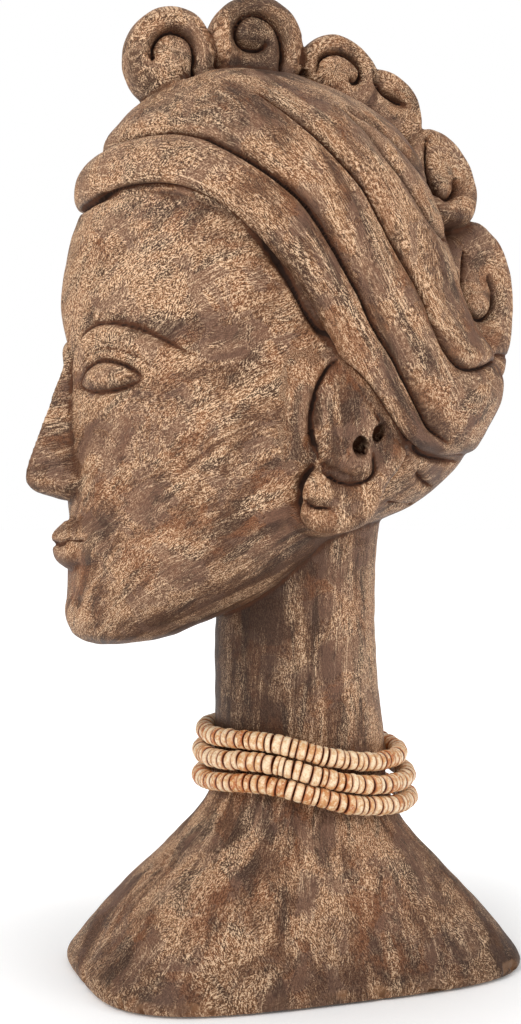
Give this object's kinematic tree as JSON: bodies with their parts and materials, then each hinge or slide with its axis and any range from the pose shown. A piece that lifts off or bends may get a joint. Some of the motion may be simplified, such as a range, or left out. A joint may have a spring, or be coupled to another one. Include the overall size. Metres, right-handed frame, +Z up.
{
  "type": "carved wooden bust of a woman",
  "caption": "Carved wooden bust of a woman facing forward, with a wrapped head under a crest of curls, a long neck with strands of beads, and a flared base that it stands on",
  "frame": {"origin": "on the underside, below the axis of the neck", "axes": "+Z up, the figure faces -Y, and its own left side is +X"},
  "size_m": [0.1822, 0.2978, 0.56],
  "materials": {
    "carved_wood": "matt stained wood with pale rubbed scratches",
    "bead_wood": "satin"
  },
  "bodies": {
    "root": {"carved_bust": "carved_wood", "bead_strand_upper": "bead_wood", "bead_strand_middle": "bead_wood", "bead_strand_lower": "bead_wood"}
  },
  "joints": []
}
